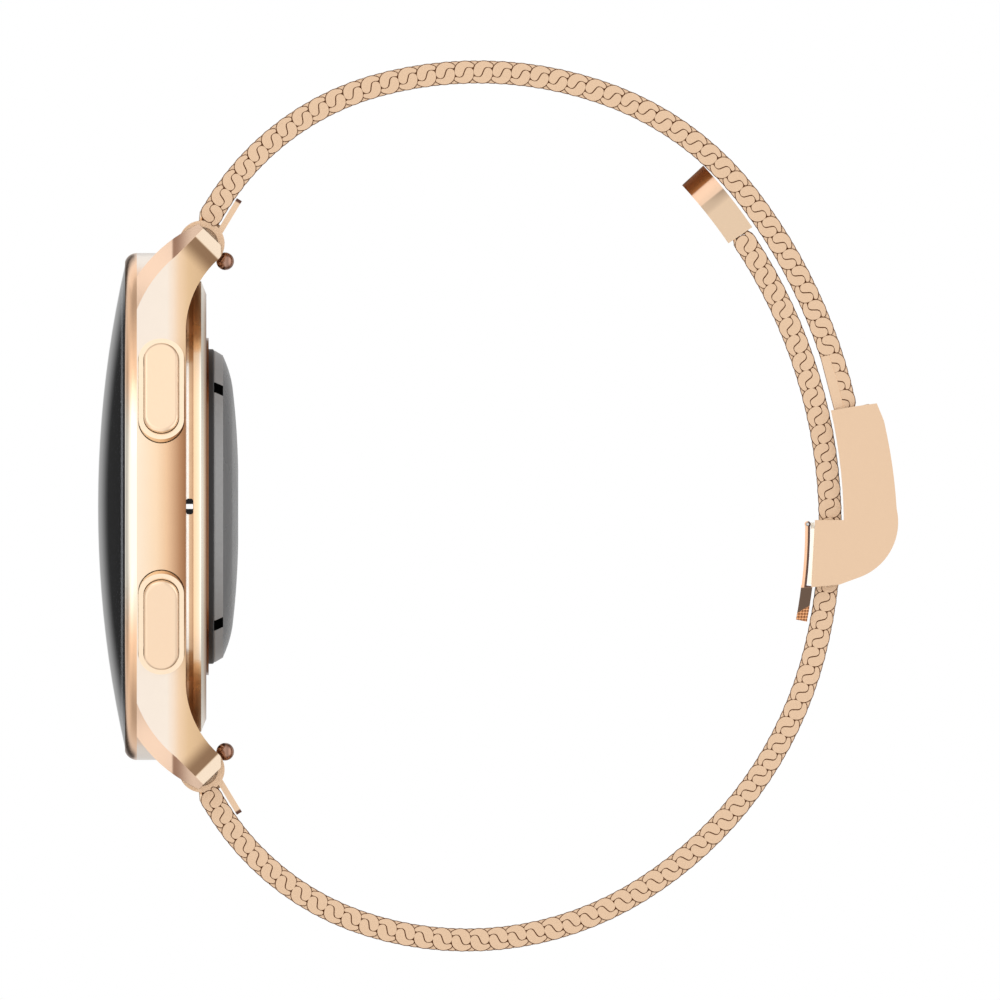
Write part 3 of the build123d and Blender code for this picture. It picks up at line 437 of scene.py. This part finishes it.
def lens_finish(shade):
    smear = shade.grain(260, (1, 1, 1), 4.0)
    return {
        "Base Color": smear.blend((0.10, 0.10, 0.102), (0.13, 0.13, 0.132)),
        "Roughness": 0.22 + smear * 0.1,
        "Specular IOR Level": 0.2,
    }


def emitter_finish(shade):
    cell = shade.grain(1800).ramp(0.4, 0.6)
    return {
        "Base Color": cell.blend((0.05, 0.30, 0.12), (0.10, 0.55, 0.25)),
        "Roughness": 0.15 + cell * 0.1,
    }


# Painted reflection: dull black with no gloss, for dark reflections on the sensor ring.
def dark_reflection_finish(shade):
    grain = shade.grain(3000)
    return {
        "Base Color": grain.blend((0.0006, 0.0006, 0.0006), (0.002, 0.002, 0.002)),
        "Roughness": 0.7 + grain * 0.2,
        "Specular IOR Level": 0.0,
    }


coat(moulded, "sensor_base")
coat(finish("dark_reflection_black", dark_reflection_finish), "sensor_inserts")
coat(finish("sensor_grey", sensor_ring_finish), "sensor_bezel")
coat(finish("smoked_lens", lens_finish), "sensor_lens")
coat(finish("green_emitter", emitter_finish), "optical_emitters")

# ---------------------------------------------------------------- pushers
# Two oval pushers slide in raised oval collars on the 3 o'clock flank. Their caps are
# finely brushed along their length; the collars are satin.


gold = (0.88, 0.58, 0.37)
gold_light = (0.90, 0.70, 0.51)


def collar_finish(shade):
    grain = shade.grain(2500)
    return {
        "Base Color": (grain * 0.5).blend((0.90, 0.72, 0.53), gold_light),
        "Metallic": 1.0,
        "Roughness": 0.20 + grain * 0.1,
        "Normal": shade.bump(grain, 0.000005),
    }


def cap_finish(shade):
    grain = shade.grain(1400, (14, 14, 1))
    return {
        "Base Color": (grain * 0.5).blend(gold_light, gold),
        "Metallic": 1.0,
        "Roughness": 0.24 + grain * 0.14,
        "Normal": shade.bump(grain, 0.000008),
    }


coat(finish("gold_collar", collar_finish), "pusher_collars")
coat(finish("gold_cap", cap_finish), "upper_pusher", "lower_pusher")

# ---------------------------------------------------------------- woven strap
# Milanese cloth: each row is one flattened coil of steel wire that runs across the strap
# and hooks through its neighbours. At both edges the wire ends are cropped, pressed flat
# and ground, so that each row ends in a pair of commas curled round each other.

strap_half_w = 10.0
strap_half_t = 1.0
row_pitch = 1.59
coil_pitch = 0.98
wire_r = 0.225
coil_half_len = 1.12
coil_ends = 9.45
coil_square = 0.85
strap_start = (-2.47, 24.42)
strap_heading = 58.8
first_run = 1.15
strap_12_arcs = [(23.0, 43.0), (32.4, 36.2), (26.0, 31.8), (44.5, 23.2)]
strap_6_arcs = [(23.0, 39.8), (27.9, 50.8), (33.4, 44.3), (43.8, 48.2)]


class StrapLine:
    """The strap's middle line in the plane of Y and Z, and its frame at any length along it."""

    def __init__(self, up, arcs):
        self.up = up
        self.runs = [(first_run, 0.0)] + [(r * math.radians(turn), r) for r, turn in arcs]
        self.length = sum(run for run, r in self.runs)

    def at(self, along):
        """The point at a length along, the direction onwards and the direction outwards."""
        y, z = strap_start
        heading = math.radians(strap_heading)
        for run, r in self.runs:
            step = min(along, run) if run != self.runs[-1][0] or along < run else along
            if r:
                turned = step / r
                y += r * (math.sin(heading) - math.sin(heading - turned))
                z += r * (math.cos(heading - turned) - math.cos(heading))
                heading -= turned
            else:
                y += step * math.cos(heading)
                z += step * math.sin(heading)
            along -= step
            if along <= 0:
                break
        onwards = Vector((0, math.cos(heading), self.up * math.sin(heading)))
        outwards = Vector((0, -math.sin(heading), self.up * math.cos(heading)))
        return Vector((0, y, self.up * z)), onwards, outwards


def piece(name, points, faces, materials, body, slot, smooth=True, marks=None):
    """A mesh in millimetres as an object that rides on a body."""
    mesh = bpy.data.meshes.new(name)
    mesh.from_pydata([Vector(p) * MM for p in points], [], faces)
    for material in materials:
        mesh.materials.append(material)
    if marks:
        mesh.polygons.foreach_set("material_index", marks)
    mesh.polygons.foreach_set("use_smooth", [smooth] * len(mesh.polygons))
    mesh.update()
    made = bpy.data.objects.new(name, mesh)
    bpy.context.scene.collection.objects.link(made)
    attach(made, body)
    return made


def woven(line, first, last):
    """All the coils between two lengths along a strap, as tubes."""
    points, faces = [], []
    sides, steps = 6, 10
    rows = round((last - first) / row_pitch)
    for row in range(rows):
        middle, onwards, outwards = line.at(first + (row + 0.5) * (last - first) / rows)
        turns = 2 * coil_ends / coil_pitch
        hand = 1 if row % 2 else -1
        path = []
        for step in range(int(turns * steps) + 1):
            angle = 2 * math.pi * step / steps
            x = -coil_ends + coil_pitch * (step / steps)
            flat_t = math.copysign(abs(math.cos(angle)) ** coil_square, math.cos(angle))
            flat_n = math.copysign(abs(math.sin(angle)) ** coil_square, math.sin(angle))
            path.append(
                middle
                + Vector((x, 0, 0))
                + onwards * (coil_half_len * flat_t)
                + outwards * ((strap_half_t - wire_r) * flat_n * hand)
            )
        base = len(points)
        for index, spot in enumerate(path):
            ahead = path[min(index + 1, len(path) - 1)] - path[max(index - 1, 0)]
            ahead.normalize()
            out = spot - middle
            out.x = 0
            out = (out - ahead * out.dot(ahead)).normalized()
            aside = ahead.cross(out)
            for side in range(sides):
                turn = 2 * math.pi * side / sides
                points.append(spot + (out * math.cos(turn) + aside * math.sin(turn)) * wire_r)
        for index in range(len(path) - 1):
            for side in range(sides):
                a = base + index * sides + side
                b = base + index * sides + (side + 1) % sides
                faces.append((a, b, b + sides, a + sides))
    return points, faces


def rounded(corners, rounds=2):
    """A closed outline with its corners cut off again and again, until it is smooth."""
    for _ in range(rounds):
        corners = [
            spot
            for (y0, z0), (y1, z1) in zip(corners, corners[1:] + corners[:1])
            for spot in (
                (0.75 * y0 + 0.25 * y1, 0.75 * z0 + 0.25 * z1),
                (0.25 * y0 + 0.75 * y1, 0.25 * z0 + 0.75 * z1),
            )
        ]
    return corners


# One comma of the pair, onwards and outwards from the row's middle: its head hangs back and
# inwards, and its tail goes over the other comma's head. The other one is it turned half round.
comma = rounded(
    [
        (0.90, 0.50), (0.76, 0.30), (0.42, 0.40), (0.14, 0.34), (0.0, 0.0), (-0.15, -0.36),
        (-0.46, -0.46), (-0.80, -0.26), (-0.87, 0.14), (-0.72, 0.64), (-0.28, 0.96),
        (0.26, 0.99), (0.68, 0.82), (0.88, 0.66),
    ]
)
hook = rounded(
    [(-0.52, 0.62), (-0.42, 0.96), (0.42, 0.96), (0.52, 0.62), (0.18, 0.30), (-0.18, 0.30)], 1
)


def turn_of(outline):
    """1 for an outline that runs anticlockwise, -1 for one that runs clockwise."""
    area = sum(a[0] * b[1] - b[0] * a[1] for a, b in zip(outline, outline[1:] + outline[:1]))
    return 1 if area > 0 else -1


def shrink(outline, distance):
    """The outline moved inwards by a distance, for the rolled edge of a flat."""
    inner = []
    count = len(outline)
    hand = turn_of(outline)
    for index, (y, z) in enumerate(outline):
        (y0, z0), (y1, z1) = outline[index - 1], outline[(index + 1) % count]
        length = math.hypot(y1 - y0, z1 - z0) or 1
        inner.append(
            (
                y + distance * (z0 - z1) / length * hand,
                z + distance * (y1 - y0) / length * hand,
            )
        )
    return inner


flat_spread = 0.012
flat_roll = 0.05
flat_roll_depth = 0.03
flat_depth = 0.50
hook_depth = 0.10


def flats(line, first, last):
    """The pressed wire ends at both edges of the strap."""
    points, faces, marks = [], [], []
    rows = round((last - first) / row_pitch)
    step = (last - first) / rows
    shapes = [
        (0.0, comma, 1, 0.0),
        (0.0, comma, -1, 0.0),
        (0.5, hook, 1, hook_depth),
        (0.5, hook, -1, hook_depth),
    ]
    for row in range(rows):
        for shift, outline, flip, depth in shapes:
            if row == rows - 1 and shift:
                continue
            middle, onwards, outwards = line.at(first + (row + 0.5 + shift) * step)
            rim = shrink(outline, -flat_spread)
            face = shrink(outline, flat_roll)
            for edge in (-1, 1):
                base = len(points)
                count = len(outline)
                for shape, drop in ((face, 0.0), (rim, flat_roll_depth), (rim, flat_depth)):
                    x = edge * (strap_half_w - depth - drop)
                    for y, z in shape:
                        points.append(
                            middle + Vector((x, 0, 0)) + (onwards * y + outwards * z) * flip
                        )
                cap = list(range(base, base + count))
                faces.append(cap)
                marks.append(0)
                for ring in (0, 1):
                    for k in range(count):
                        a = base + ring * count + k
                        b = base + ring * count + (k + 1) % count
                        faces.append((a, b, b + count, a + count))
                        marks.append(1)
    return points, faces, marks


def wire_finish(shade):
    grain = shade.grain(1800, (1, 1, 1))
    return {
        "Base Color": (grain * 0.6).blend(gold_light, gold),
        "Metallic": 1.0,
        "Roughness": 0.20 + grain * 0.12,
        "Normal": shade.bump(grain, 0.000006),
    }


def ground_finish(shade):
    grain = shade.grain(2600, (1, 3, 3))
    return {
        "Base Color": (grain * 0.4).blend((0.77, 0.55, 0.375), (0.72, 0.51, 0.34)),
        "Metallic": 0.85,
        "Roughness": 0.42 + grain * 0.12,
        "Normal": shade.bump(grain, 0.000004),
    }


# Painted shade for the gaps between the commas: their rolled edges and walls are dull dark brown.
def gap_shade_finish(shade):
    grain = shade.grain(2600)
    return {
        "Base Color": grain.blend((0.10, 0.035, 0.012), (0.17, 0.07, 0.03)),
        "Roughness": 0.8 + grain * 0.2,
        "Specular IOR Level": 0.0,
    }


wire = finish("gold_wire", wire_finish)
ground = finish("gold_ground", ground_finish)
gap_shade = finish("gold_gap_shade", gap_shade_finish)
strap_12 = StrapLine(1, strap_12_arcs)
strap_6 = StrapLine(-1, strap_6_arcs)
cloth_first = -0.3
for body, line, cloth_last in (
    ("strap_12", strap_12, strap_12.length + 2.1),
    ("strap_6", strap_6, strap_6.length - 0.1),
):
    cloth = piece(
        f"{body}_cloth", *woven(line, cloth_first, cloth_last), [wire], body, "mesh_gold"
    )
    points, faces, marks = flats(line, cloth_first, cloth_last)
    ends = piece(
        f"{body}_edge_flats", points, faces, [ground, gap_shade], body, "mesh_gold",
        smooth=False, marks=marks,
    )
    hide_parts(f"{body}_mesh")
    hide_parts(f"{body}_mesh")

# ---------------------------------------------------------------- strap end pieces
# A folded and rolled plate clamps the last row of each strap round a tube that turns on
# the spring bar. The quick release knob stands out of a slot in the roll.


def plate_finish(shade):
    grain = shade.grain(1800, (1, 8, 8))
    return {
        "Base Color": (grain * 0.4).blend((0.77, 0.55, 0.375), (0.72, 0.51, 0.34)),
        "Metallic": 0.9,
        "Roughness": 0.32 + grain * 0.12,
        "Normal": shade.bump(grain, 0.000005),
    }


def knob_finish(shade):
    grain = shade.grain(1500)
    return {
        "Base Color": grain.blend((0.34, 0.19, 0.14), (0.42, 0.25, 0.18)),
        "Metallic": 1.0,
        "Roughness": 0.20 + grain * 0.1,
        "Normal": shade.bump(grain, 0.000001),
    }


plate = finish("gold_plate", plate_finish)
knob = finish("dark_gold", knob_finish)


shear_from = 2.35 * MM
shear_to = 2.50 * MM


def end_finish(shade):
    """The folded plate; its sheared end is dark."""
    heading = math.radians(strap_heading)
    from_y = shade.place("Y") - strap_start[0] * MM
    from_z = shade.place("Z").absolute() - strap_start[1] * MM
    along = from_y * math.cos(heading) + from_z * math.sin(heading)
    sheared = along.ramp(shear_from, shear_to)
    paint = plate_finish(shade)
    paint["Base Color"] = sheared.blend(paint["Base Color"], (0.11, 0.05, 0.035))
    return paint


coat(finish("gold_end", end_finish), "strap_12_end_piece", "strap_6_end_piece")
coat(knob, "strap_12_release_pin", "strap_6_release_pin")


def turned(profile, start, along, sides):
    """A body of revolution: profile gives (length, radius) pairs from start along an axis."""
    along = along.normalized()
    across = along.orthogonal().normalized()
    around = along.cross(across)
    points, faces = [], []
    for length, radius in profile:
        for side in range(sides):
            turn = 2 * math.pi * side / sides
            points.append(
                start + along * length
                + (across * math.cos(turn) + around * math.sin(turn)) * radius
            )
    for ring in range(len(profile) - 1):
        for side in range(sides):
            a = ring * sides + side
            b = ring * sides + (side + 1) % sides
            faces.append((a, b, b + sides, a + sides))
    faces.append(list(range(sides))[::-1])
    faces.append(list(range(len(points) - sides, len(points))))
    return points, faces


bar_axis = Vector((0, -3.10, 22.30))
knob_x = 7.2
knob_lean = math.radians(37.0)
ball_r = 0.755
ball_reach = 2.50
neck_r = 0.34
ball_steps = 12
ball_flat = 0.12
for hour, up in ((12, 1), (6, -1)):
    out = Vector((0, math.cos(knob_lean), -up * math.sin(knob_lean)))
    foot = Vector((knob_x, bar_axis.y, up * bar_axis.z))
    waist = math.asin(neck_r / ball_r)
    profile = [(ball_reach - 1.30, neck_r + 0.02), (ball_reach - 0.80, neck_r)]
    for step in range(ball_steps + 1):
        turn = math.pi - waist - (math.pi - waist - ball_flat) * step / ball_steps
        profile.append((ball_reach + ball_r * math.cos(turn), ball_r * math.sin(turn)))
    piece(
        f"release_knob_{hour}", *turned(profile, foot, out, 32), [knob], f"release_{hour}",
        "dark_gold",
    )
coat(
    steel,
    "strap_12_bar_tube", "strap_6_bar_tube", "strap_12_bar_spring", "strap_6_bar_spring",
    "clasp_pin", "slider_pin",
)

# ---------------------------------------------------------------- clasp end
# The 12 o'clock strap runs out behind the cover. A pressed plate grips its inner half and
# curls round the clasp pin.


def prism(outline, half_w, edge=0.06):
    """A solid with one outline in the plane of Y and Z, its two side edges rolled a little."""
    inner = shrink(outline, edge)
    points, faces = [], []
    for x, shape in (
        (-half_w, inner), (edge - half_w, outline), (half_w - edge, outline), (half_w, inner)
    ):
        points += [Vector((x, y, z)) for y, z in shape]
    count = len(outline)
    for ring in range(3):
        for k in range(count):
            a, b = ring * count + k, ring * count + (k + 1) % count
            faces.append((a, b, b + count, a + count))
    faces.append(list(range(count))[::-1])
    faces.append(list(range(3 * count, 4 * count)))
    return points, faces


clasp_pin_at = (53.40, 7.90)
knuckle_r = 0.80
knuckle_steps = 8
clasp_end_half_w = 10.04
end_at, end_on, end_out = strap_12.at(strap_12.length)


def by_end(along, out):
    """A point in the plane of Y and Z, onwards and outwards from the end of the strap."""
    spot = end_at + end_on * along + end_out * out
    return spot.y, spot.z


grip = [
    by_end(-2.7, -1.04), by_end(-2.7, -0.25), by_end(-0.6, -0.1), by_end(2.2, -0.15),
    by_end(2.3, 1.2),
]
pin_y, pin_z = clasp_pin_at
curl_from = math.atan2(end_out.z, end_out.y) + math.radians(130)
curl = math.radians(220)
for step in range(knuckle_steps + 1):
    turn = curl_from - curl * step / knuckle_steps
    grip.append((pin_y + knuckle_r * math.cos(turn), pin_z + knuckle_r * math.sin(turn)))
grip += [by_end(2.9, -0.4), by_end(2.2, -1.04)]
clasp_end = piece(
    "clasp_end_plate", *prism(grip, clasp_end_half_w), [plate], "strap_12", "satin_gold",
    smooth=False,
)
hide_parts("strap_12_clasp_end")

# ---------------------------------------------------------------- strap tip
# A folded plate pressed over the free end of the strap, so that the cut rows don't fray.
# Its end is turned over, and lined where it is gripped. Painted shade and light run along it:
# a dark band, a pinker band and a dark end.

tip_at, tip_on, tip_out = strap_6.at(strap_6.length)
tip_len = 6.50
tip_turn_r = strap_6_arcs[-1][0]
tip_centre = tip_at - tip_out * tip_turn_r
line_waves = 42000


def tip_finish(shade):
    """Painted light and shade along the strap's curve: satin, dark band, pink band, lined end."""
    from_y = shade.place("Y") - tip_centre.y * MM
    from_z = shade.place("Z") - tip_centre.z * MM
    ahead = from_y * tip_on.y + from_z * tip_on.z
    outward = from_y * tip_out.y + from_z * tip_out.z
    along = shade.maths("ARCTAN2", ahead, outward) * (tip_turn_r / tip_len)
    lines = shade.maths("SINE", outward * line_waves) * 0.5 + 0.5
    deep = outward.ramp((tip_turn_r - 1.3) * MM, (tip_turn_r + 1.3) * MM)
    satin = (0.72, 0.535, 0.372)
    # The tones are painted light and shade: a dark band, a pinker band, and a dark end.
    tone = shade.add(
        "ValToRGB",
        {
            "stops": [
                (0.0, satin), (0.46, satin),
                (0.605, (0.37, 0.26, 0.18)), (0.625, (0.76, 0.53, 0.37)),
                (0.80, (0.78, 0.51, 0.35)), (0.82, (0.30, 0.10, 0.028)),
                (1.0, (0.27, 0.085, 0.022)),
            ]
        },
        {0: along},
    )
    # The painted shadow band is lighter towards the strap's inner face.
    painted_shadow_band = along.ramp(0.46, 0.605) * (1 - along.ramp(0.605, 0.625))
    tone = (painted_shadow_band * (1 - deep) * 0.55).blend(tone, satin)
    end = along.ramp(0.805, 0.82)
    paint = plate_finish(shade)
    paint["Base Color"] = (lines * end * 0.5).blend(tone, (0.40, 0.16, 0.05))
    return paint


coat(finish("gold_tip", tip_finish), "strap_6_tip")

# ---------------------------------------------------------------- clasp cover
# The cover is one pressing, satin outside, with flat sides that reach round the strap. The
# hook riveted inside it holds the slider when it is shut.

coat(plate, "clasp_cover", "clasp_hook")

# ---------------------------------------------------------------- slider and its lever
# A polished frame, with a painted highlight, slides along the strap. The lever hinged on it
# bites into the rows to lock it, and has a knurled tab for the fingernail.

slide_centre = (6.4007, -1.6832)
lever_face_r = 41.90 * MM
tab_top = -6.88 * MM
knurl_line = (47.92, -8.72)
knurl_slope = 0.59
knurl_waves = 13000


def copper_finish(shade):
    """Bright copper outside, painted shadow inside, and a knurled tab below."""
    y, z = shade.place("Y"), shade.place("Z")
    from_y = y - slide_centre[0] * MM
    from_z = z - slide_centre[1] * MM
    radius = (from_y * from_y + from_z * from_z) ** 0.5
    grain = shade.grain(1500)
    tab = 1 - z.ramp(tab_top - 0.03 * MM, tab_top + 0.03 * MM)
    # Painted shadow: the inner face is dark and not metal, for the shade in the gap behind it.
    painted_gap_shadow = radius.ramp(lever_face_r, lever_face_r + 0.02 * MM) * (1 - tab)
    tone = grain.blend((0.80, 0.46, 0.28), (0.92, 0.58, 0.38))
    tone = painted_gap_shadow.blend(tone, (0.10, 0.035, 0.015))
    above_line = z - (y - knurl_line[0] * MM) * knurl_slope
    plain = above_line.ramp((knurl_line[1] - 0.03) * MM, (knurl_line[1] + 0.03) * MM)
    knurled = tab * (1 - plain)
    x = shade.place("X")
    first = shade.maths("SINE", (y + z * 0.8 + x * 0.5) * knurl_waves)
    second = shade.maths("SINE", (z * 1.1 - y + x * 0.5) * knurl_waves)
    bead = first * second * 0.5 + 0.5
    tone = (tab * (1 - knurled)).blend(tone, (0.13, 0.085, 0.06))
    tone = knurled.blend(tone, bead.blend((0.20, 0.06, 0.02), (0.92, 0.46, 0.22)))
    return {
        "Base Color": tone,
        "Metallic": 1 - painted_gap_shadow,
        "Roughness": 0.18 + grain * 0.12,
        "Normal": shade.bump(bead * knurled, 0.00012),
    }


# The frame shares the bezel's finish and its highlight painted by height.
coat(finish("slider_gold", bezel_finish), "slider_frame")
coat(finish("lever_copper", copper_finish), "slider_lever")

# ---------------------------------------------------------------- studio
# A plain pale floor, a pale surround with one dark panel for the glass to mirror, three soft
# lamps, and a camera level with the watch at its 3 o'clock side.

reach = 0.6
floor_gap = 0.0005
floor = bpy.data.objects.new("floor", bpy.data.meshes.new("floor"))
floor.data.from_pydata(
    [(-reach, -reach, 0), (reach, -reach, 0), (reach, reach, 0), (-reach, reach, 0)],
    [], [(0, 1, 2, 3)],
)
floor.location = (0, 0, cad_box[0].z - floor_gap)
floor.data.materials.append(
    finish("pale_floor", lambda shade: {"Base Color": (0.9, 0.9, 0.9), "Roughness": 0.6})
)
bpy.context.scene.collection.objects.link(floor)
floor.visible_glossy = False

# The surround is white to the eye. What the metal and glass mirror of it is brighter on the
# near side and straight behind the case, with a dark panel on the 9 o'clock side.
world = bpy.data.worlds.new("studio")
world.use_nodes = True
bpy.context.scene.world = world
sky = Shade(world.node_tree)
way = sky.add("TexCoord", output="Generated")
way_x = sky.add("SeparateXYZ", inputs={0: way}, output=0)
way_y = sky.add("SeparateXYZ", inputs={0: way}, output=1)
way_z = sky.add("SeparateXYZ", inputs={0: way}, output=2)
level = 1 - way_z.absolute().ramp(0.30, 0.62)
screen = (1 - way_x.ramp(-0.90, -0.78)) * (0.55 + way_x.ramp(-0.998, -0.96) * 0.45) * level
screen = screen * (1 - way_y.ramp(-0.10, 0.02))
glow = 0.50 + way_x.ramp(-0.4, 0.6) * 0.72 - way_y.ramp(0.0, 0.45) * 0.34
glow = glow + way_y.ramp(0.55, 0.85) * 0.75
glow = glow + (1 - way_y.ramp(-0.75, -0.35)) * way_z.absolute().ramp(0.35, 0.6) * 0.35
glow = glow + (1 - way_x.ramp(-0.9, -0.3)) * 0.35
glow = glow * (1 - screen * 0.96)
seen = sky.add("LightPath", output="Is Camera Ray")
surround = world.node_tree.nodes["Background"]
sky.put(surround.inputs["Color"], (1.0, 1.0, 1.0))
sky.put(surround.inputs["Strength"], seen + (1 - seen) * glow)

for name, spot, size, power in (
    ("key", (0.35, -0.25, 0.35), 0.35, 0.10),
    ("fill", (0.10, 0.40, 0.30), 0.40, 0.06),
    ("rim", (-0.40, -0.10, 0.30), 0.30, 0.08),
):
    lamp = bpy.data.lights.new(name, "AREA")
    lamp.size = size
    lamp.energy = power
    stand = bpy.data.objects.new(name, lamp)
    stand.location = spot
    stand.rotation_mode = "QUATERNION"
    stand.rotation_quaternion = (-Vector(spot)).to_track_quat("-Z", "Y")
    bpy.context.scene.collection.objects.link(stand)

view_w = 0.0848
view_at = (1.0, 0.0222, 0.00055)
camera = bpy.data.cameras.new("camera")
camera.type = "ORTHO"
camera.ortho_scale = view_w
camera.clip_start = 0.01
camera.clip_end = 10
tripod = bpy.data.objects.new("camera", camera)
tripod.rotation_mode = "QUATERNION"
tripod.location = view_at
tripod.rotation_quaternion = Vector((-1, 0, 0)).to_track_quat("-Z", "Y")
bpy.context.scene.collection.objects.link(tripod)
bpy.context.scene.camera = tripod
bpy.context.scene.view_settings.view_transform = "Standard"
